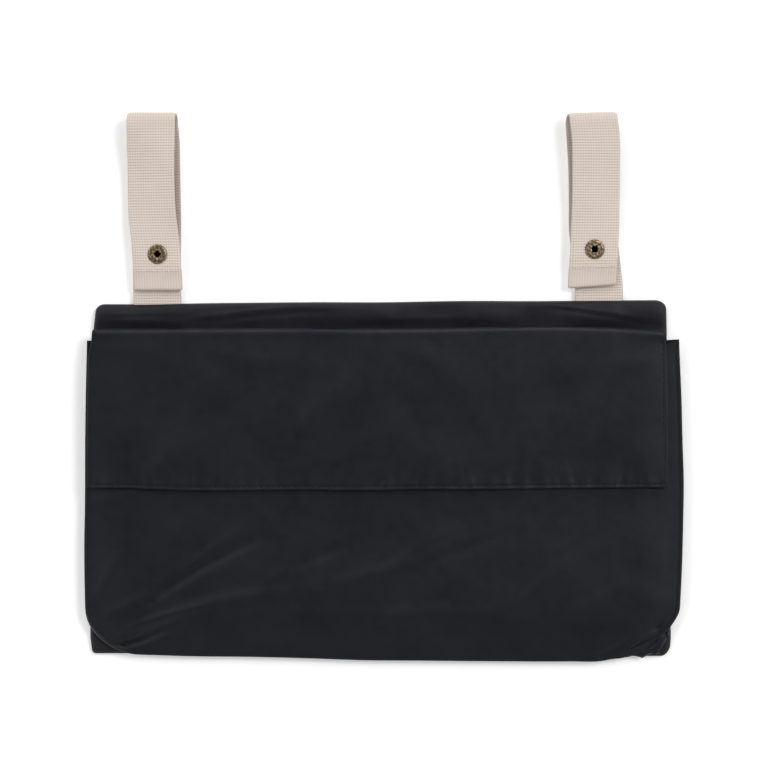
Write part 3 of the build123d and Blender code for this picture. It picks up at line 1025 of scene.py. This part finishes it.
# The hem's length, how far it drops below the leg, and the radius it turns under on.
HEM_LENGTH = 9.8
HEM_DROP = 1.1
HEM_CURL = 0.78


def loop_frame(side):
    """The places that shape one loop, from its CAD pieces and its joint."""
    pivot = joint_place(f"{side}_tab_open")
    front_low, front_high = box_mm(f"{side}_front_leg")
    tail_low, tail_high = box_mm(f"{side}_strap_tail")
    return {
        "center": snap_center[side][0],
        "snap_y": snap_center[side][1],
        "pivot": pivot,
        "radius": front_high[1] - pivot[1] - WEB_THICK / 2,
        "hem_y": front_low[1],
        "leg_z": box_mm(f"{side}_hem_stitch")[1][2] - WEB_THICK / 2,
        "back_z": (tail_low[2] + tail_high[2]) / 2,
        "tail_y": tail_low[1],
    }


def resample(points, step):
    """Evenly spaced points along a line, and the length up to each."""
    points = np.array(points, float)
    lengths = np.concatenate([[0], np.cumsum(np.linalg.norm(np.diff(points, axis=0), axis=1))])
    places = np.linspace(0, lengths[-1], int(lengths[-1] / step) + 1)
    line = np.stack([np.interp(places, lengths, points[:, k]) for k in range(3)], 1)
    return line, places


def back_leg_line(side, f, y):
    """The middle line of the back leg at places along Y. It sags where nothing holds it up."""
    x = f["center"] + through(y, DRIFT_UP[side])
    return np.stack([x, y, f["back_z"] - 0.55 * hill(y, 104.0, 17.0)], 1)


def front_leg_line(side, f):
    """The middle line from the join over the fold, down the front and round under the hem."""
    pivot_y, pivot_z = f["pivot"][1], f["pivot"][2]
    rise = back_leg_line(side, f, np.linspace(JOIN_Y, pivot_y, 14)[:-1])
    x_low, x_high = (f["center"] + through(pivot_y, drift[side]) for drift in (DRIFT_UP, DRIFT_DOWN))
    turn = np.linspace(0, math.pi, 40)
    bend = np.stack([
        x_low + (x_high - x_low) * smoothstep(turn, 0, math.pi),
        pivot_y + f["radius"] * np.sin(turn),
        pivot_z - f["radius"] * np.cos(turn),
    ], 1)
    y_down = np.linspace(pivot_y, f["hem_y"] + 1.5, 200)[1:]
    x_down = f["center"] + through(y_down, DRIFT_DOWN[side])
    top_z = pivot_z + f["radius"]
    z_down = f["leg_z"] + (top_z - f["leg_z"]) * smoothstep(y_down, f["snap_y"] + 5.0, pivot_y + 16.0)
    z_down += (top_z - z_down[0]) * hill(y_down, pivot_y, 22.0)
    z_down -= HEM_DROP * smoothstep(f["snap_y"] - 4.0 - y_down, 0.0, 10.0)
    leg = np.stack([x_down, y_down, z_down], 1)
    end = leg[-1]
    under = np.linspace(0, math.pi, 12)[1:]
    curl = np.stack([
        np.full(len(under), end[0]),
        end[1] - 0.5 * HEM_CURL * np.sin(under),
        end[2] - HEM_CURL + HEM_CURL * np.cos(under),
    ], 1)
    back_y = np.linspace(end[1], end[1] + HEM_LENGTH, 24)[1:]
    back_x = f["center"] + through(back_y, DRIFT_DOWN[side])
    back_z = np.interp(back_y, leg[::-1, 1], leg[::-1, 2]) - 2 * HEM_CURL
    return np.vstack([rise, bend, leg, curl, np.stack([back_x, back_y, back_z], 1)])


def webbing_piece(name, line, along, plain, skew, roll, hole=None):
    """Ribbed webbing along a line. For each of the line's points, along is the length of strap up
    to it, plain how smooth it is, skew its slope across, and roll its turn in degrees."""
    columns = 4 * RIB_COLUMNS + 1
    across = np.linspace(-WEB_HALF, WEB_HALF, columns)
    tangent = np.gradient(line, axis=0)
    tangent /= np.linalg.norm(tangent, axis=1, keepdims=True)
    normal = np.stack([0 * tangent[:, 0], -tangent[:, 2], tangent[:, 1]], 1)
    normal /= np.linalg.norm(normal, axis=1, keepdims=True)
    rows = np.abs(np.sin(math.pi * along / ROW_PITCH)) * (1 - plain) + plain
    ribs = 0.55 + 0.45 * np.abs(np.sin(math.pi * across / COLUMN_PITCH))
    bumps = RIB_HEIGHT * (rows[:, None] * ribs) ** 0.6
    half = WEB_THICK / 2 * (1 - 0.45 * np.abs(across / WEB_HALF) ** 14)
    upper = half - RIB_HEIGHT * 0.75 + bumps
    # The edges bulge a little at each rib.
    bulge = 0.22 + 0.096 * (rows - 0.5)
    rings, cloth = [], []
    for k in range(len(line)):
        lean = math.radians(roll[k])
        base = line[k] + across[:, None] * np.array([math.cos(lean), skew[k], math.sin(lean)])
        top = base + upper[k][:, None] * normal[k]
        low = base - upper[k][:, None] * normal[k]
        aside = np.array([bulge[k], 0, 0])
        rings.append(np.vstack([top, [base[-1] + aside], low[::-1], [base[0] - aside]]))
        flat = np.column_stack([across, np.full(columns, along[k]), np.full(columns, plain[k])])
        cloth.append(np.vstack([flat, [flat[-1]], flat[::-1], [flat[0]]]))
    ring = 2 * columns + 2
    points = np.vstack(rings)
    if hole is not None:
        press_round(points, hole)
    faces = grid_quads(len(line), ring, wrap=True)
    # Quads close the thickness at each end, and a triangle closes each side of it.
    end = [(j, j + 1, 2 * columns - j - 1, 2 * columns - j) for j in range(columns - 1)]
    end += [(columns - 1, columns, columns + 1), (2 * columns, 2 * columns + 1, 0)]
    last = (len(line) - 1) * ring
    faces += [face[::-1] for face in end]
    faces += [tuple(last + k for k in face) for face in end]
    piece = make_object(name, points, faces, np.vstack(cloth))
    # inside holds painted shade on the face turned into the loop, fading out below Y 58 to 76 mm.
    inside = np.zeros((len(line), ring), np.float32)
    inside[:, :columns] = smoothstep(line[:, 1], 58.0, 76.0)[:, None]
    piece.data.attributes.new("inside", "FLOAT", "POINT").data.foreach_set("value", inside.ravel())
    return piece


def press_round(points, hole):
    """Presses the webbing down round a snap, and further down under its barrel."""
    gap = np.hypot(points[:, 0] - hole[0], points[:, 1] - hole[1])
    near = np.abs(points[:, 2] - hole[2]) < 2.0
    points[:, 2] -= 0.3 * near * hill(gap, 0.0, 7.0) + 2.0 * near * smoothstep(2.3 - gap, 0.0, 0.6)


def raise_rolled(line, roll):
    """Lifts rolled webbing so that its lower edge stays clear of the floor."""
    line[:, 2] += 0.92 * WEB_HALF * np.abs(np.sin(np.radians(roll)))


def back_webbing(side, f):
    """The tail and the back leg, in one piece. Returns its length."""
    line, places = resample(back_leg_line(side, f, np.linspace(f["tail_y"], JOIN_Y, 160)), STEP)
    roll = through(line[:, 1], ROLL_UP[side])
    raise_rolled(line, roll)
    level = np.zeros(len(line))
    piece = webbing_piece(f"{side}_webbing_back", line, places, level, level, roll)
    finish_piece(piece, "webbing", (f"{side}_strap_tail", f"{side}_back_leg"))
    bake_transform(piece)
    return places[-1]


def front_webbing(side, f, back_length):
    """The fold, the front leg and its hem, in one piece."""
    line, places = resample(front_leg_line(side, f), STEP)
    along = back_length + places
    fold_start = f["pivot"][1] - JOIN_Y
    # The webbing is smooth along its hem and over its fold.
    hem_end = along[-1] - HEM_LENGTH - 0.77 * HEM_CURL * math.pi
    hem_start = hem_end - HEM_LENGTH
    plain = smoothstep(along, hem_start - 0.6, hem_start + 0.6)
    plain = np.maximum(plain, 0.9 * hill(line[:, 1], f["pivot"][1] + 5.5, 7.0))
    skew = HEM_TILT[side] * smoothstep(along, hem_end - 16.0, hem_end)
    skew += TOP_TILT[side] * hill(line[:, 1], line[:, 1].max(), 12.0)
    rising = places < fold_start
    roll = through(line[:, 1], ROLL_UP[side]) * rising
    raise_rolled(line, roll)
    roll += through(line[:, 1], ROLL_DOWN[side]) * ~rising
    hole = (f["center"], f["snap_y"], f["leg_z"])
    piece = webbing_piece(f"{side}_webbing_front", line, along, plain, skew, roll, hole)
    finish_piece(piece, "webbing", (f"{side}_front_leg",))
    blend_by_length(piece, line)
    return piece


def hem_stitches(side, f, front):
    """The row of thread that holds the hem."""
    row_y = f["hem_y"] + HEM_LENGTH + 0.9
    middle = f["center"] + through(row_y, DRIFT_DOWN[side])
    half, rise = 11.6, 4.48 * HEM_TILT[side]
    path = [(middle - half, row_y - rise), (middle + half, row_y + rise)]
    row = stitches(f"{side}_hem_stitches", [stitch_row(front, path, 2.5, 2.3, 0.26)])
    finish_piece(row, "beige_thread", (f"{side}_hem_stitch",), f"{side}_tab")


def loops():
    """Both webbing loops."""
    for side in SIDES:
        f = loop_frame(side)
        back_length = back_webbing(side, f)
        hem_stitches(side, f, front_webbing(side, f, back_length))


def blend_by_length(piece, line):
    """Lays the loop's front piece out flat by length along the webbing, bakes its transform,
    and puts the points back afterwards."""
    vertices = piece.data.vertices
    bent = np.zeros(len(vertices) * 3, np.float32)
    vertices.foreach_get("co", bent)
    ring = len(vertices) // len(line)
    places = np.concatenate([[0], np.cumsum(np.linalg.norm(np.diff(line, axis=0), axis=1))]) * MM
    flat = bent.reshape(-1, 3).copy()
    flat[:, 1] = np.repeat(places, ring)
    vertices.foreach_set("co", flat.ravel())
    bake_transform(piece)
    vertices.foreach_set("co", bent)
    piece.data.update()


# ---------------------------------------------------------------- snap fasteners

SEGMENTS = 72


def lathe(name, profile, center, petals=None, squeeze=None):
    """A turned piece from (radius, height) points, closed into a ring.
    petals shifts its height, and squeeze changes its radius, by radius and angle."""
    points, places = [], []
    for angle in np.linspace(0, 2 * math.pi, SEGMENTS, endpoint=False):
        for radius, height in profile:
            places.append((radius, height, radius * angle))
            reach = squeeze(radius, angle) if squeeze else radius
            shift = petals(radius, angle) if petals else 0.0
            points.append((
                center[0] + reach * math.cos(angle), center[1] + reach * math.sin(angle), height + shift
            ))
    count = len(profile)
    faces = []
    for i in range(SEGMENTS):
        here, there = i * count, (i + 1) % SEGMENTS * count
        for j in range(count):
            after = (j + 1) % count
            faces.append((here + j, here + after, there + after, there + j))
    return make_object(name, points, faces, places)


def rolled_petals(radius, angle):
    """The barrel's end is split and rolled outwards in petals."""
    return -0.22 * hill(radius, 2.35, 0.75) * abs(math.cos(4 * angle)) ** 6


# How far each snap's square hole is turned.
HOLE_TURN = {"left": 0.0, "right": math.pi / 4}


def square_hole(turn):
    """A squeeze that presses the hole nearly square, turned by an angle."""
    def squeeze(radius, angle):
        in_hole = radius < 1.9
        return radius * (1 + 0.10 * math.cos(4 * (angle + turn))) if in_hole else radius
    return squeeze


def snap_profiles(side):
    """(radius, height) points of each turned piece of a snap, by its CAD name's last word."""
    low_corner, high_corner = box_mm(f"{side}_snap_eyelet")
    rim = (high_corner[0] - low_corner[0]) / 2
    barrel, top = low_corner[2], high_corner[2]
    face = box_mm(f"{side}_hem_stitch")[1][2] - 0.3
    eyelet = [
        (0.03, barrel + 0.5), (1.5, barrel + 0.5), (1.6, top - 0.6), (1.75, top - 0.12), (2.0, top + 0.10),
        (2.4, top + 0.16), (2.9, top + 0.06), (3.3, top + 0.02), (3.9, top + 0.10), (4.5, top + 0.02),
        (4.95, top - 0.22), (rim, top - 0.5), (rim - 0.1, face - 0.05), (2.2, face - 0.05),
        (2.05, barrel + 0.1), (0.03, barrel + 0.1),
    ]
    low, high = (corner[2] for corner in box_mm(f"{side}_snap_stud"))
    stud = [
        (2.15, high - 0.02), (4.0, high - 0.02), (3.95, high - 0.5), (3.2, high - 0.78), (2.6, high - 0.95),
        (2.45, low + 0.8), (2.75, low + 0.45), (2.6, low + 0.1), (2.3, low), (2.15, low + 0.2),
    ]
    low, high = (corner[2] for corner in box_mm(f"{side}_snap_socket"))
    socket = [
        (1.75, low), (rim, low), (rim + 0.02, low + 0.5), (rim - 0.25, high - 0.25), (rim - 0.8, high),
        (3.6, high), (3.2, high - 0.2), (3.12, high - 0.6), (3.3, low + 0.7), (3.1, low + 0.4),
        (1.75, low + 0.4),
    ]
    low, high = (corner[2] for corner in box_mm(f"{side}_snap_cap"))
    cap = [
        (0.05, low + 0.02), (2.2, low), (3.8, low + 0.08), (4.8, low + 0.3), (rim, low + 0.6),
        (rim - 0.05, low + 0.88), (1.65, low + 0.9), (1.65, high), (0.05, high),
    ]
    return {"eyelet": eyelet, "stud": stud, "socket": socket, "cap": cap}


def snaps():
    """The four turned pieces of each snap fastener."""
    names = {"eyelet": "eyelet_ring", "stud": "stud_post", "socket": "socket_cup", "cap": "cap_disc"}
    bodies = {"eyelet": "tab", "stud": "tab", "socket": "strap", "cap": "strap"}
    for side in SIDES:
        pressed = {"petals": rolled_petals, "squeeze": square_hole(HOLE_TURN[side])}
        for part, profile in snap_profiles(side).items():
            shape = pressed if part == "eyelet" else {}
            piece = lathe(f"{side}_{names[part]}", profile, snap_center[side], **shape)
            node_name = f"{side}_snap_{part}"
            finish_piece(piece, "brass", (node_name,), f"{side}_{bodies[part]}")


# ---------------------------------------------------------------- studio

def floor():
    """The white surface that the pouch lies on."""
    bpy.ops.mesh.primitive_plane_add(size=6.0, location=(0, 0, -0.0002))
    plane = bpy.context.object
    plane.name = "floor"
    material = new_material(
        "white_floor", Base_Color=(0.95, 0.95, 0.95, 1), Roughness=0.9, Specular_IOR_Level=0.1,
        Emission_Color=(1.0, 1.0, 1.0, 1), Emission_Strength=0.2,
    )[0]
    plane.data.materials.append(material)


def lights():
    """A strong light to the right and above, and two weaker ones, all aimed at the origin."""
    for name, place, size, power in (
        ("key_light", (2.85, 1.5, 3.75), 1.7, 99.5),
        ("top_light", (-0.6, 3.0, 2.5), 1.5, 24.0),
        ("left_light", (-2.6, 0.7, 2.5), 1.5, 24.0),
    ):
        data = bpy.data.lights.new(name, "AREA")
        data.energy = power
        data.size = size
        light = bpy.data.objects.new(name, data)
        light.location = place
        light.rotation_euler = (-Vector(place)).to_track_quat("-Z", "Y").to_euler()
        bpy.context.scene.collection.objects.link(light)


def light_tent():
    """The world: bright walls and a dim ceiling, as in a light tent with its top open."""
    world = bpy.data.worlds.new("soft_white")
    world.use_nodes = True
    tree = world.node_tree
    height = split(tree, node(tree, "TexCoord").outputs["Generated"])[2]
    stops = [(0.0, 0.55), (0.45, 0.85), (0.70, 0.85), (0.82, 0.30), (0.92, 0.08), (1.0, 0.06)]
    grey = ramp(tree, height, [(place, (level,) * 3) for place, level in stops])
    background = tree.nodes["Background"]
    tree.links.new(grey, background.inputs["Color"])
    background.inputs["Strength"].default_value = 1.0
    bpy.context.scene.world = world


def camera():
    """A camera straight above, which sees a stated width at the height of the pouch's face."""
    distance, width_seen, sensor = 1.05, 0.4055, 36.0
    face_height = 0.008
    data = bpy.data.cameras.new("camera")
    data.sensor_width = sensor
    data.lens = sensor * distance / width_seen
    viewer = bpy.data.objects.new("camera", data)
    viewer.location = (0.0003, 0.0011, distance + face_height)
    bpy.context.scene.collection.objects.link(viewer)
    bpy.context.scene.camera = viewer
    bpy.context.scene.view_settings.view_transform = "Standard"


def hidden_nodes():
    """CAD pieces inside the seams keep their shape and get their finish."""
    finishes = {"back_stiffener": "board"}
    finishes.update({f"{side}_anchor_stitch": "black_thread" for side in SIDES})
    for name, material in finishes.items():
        own = frame["nodes"][name].data.materials
        own.clear()
        own.append(materials[material])


floor()
lights()
light_tent()
camera()
back_shell()
pocket_piece, pocket_face = pocket_front()
mouth_hem(pocket_piece)
loop_tape(pocket_piece)
gusset(pocket_face)
flap()
loops()
snaps()
hidden_nodes()
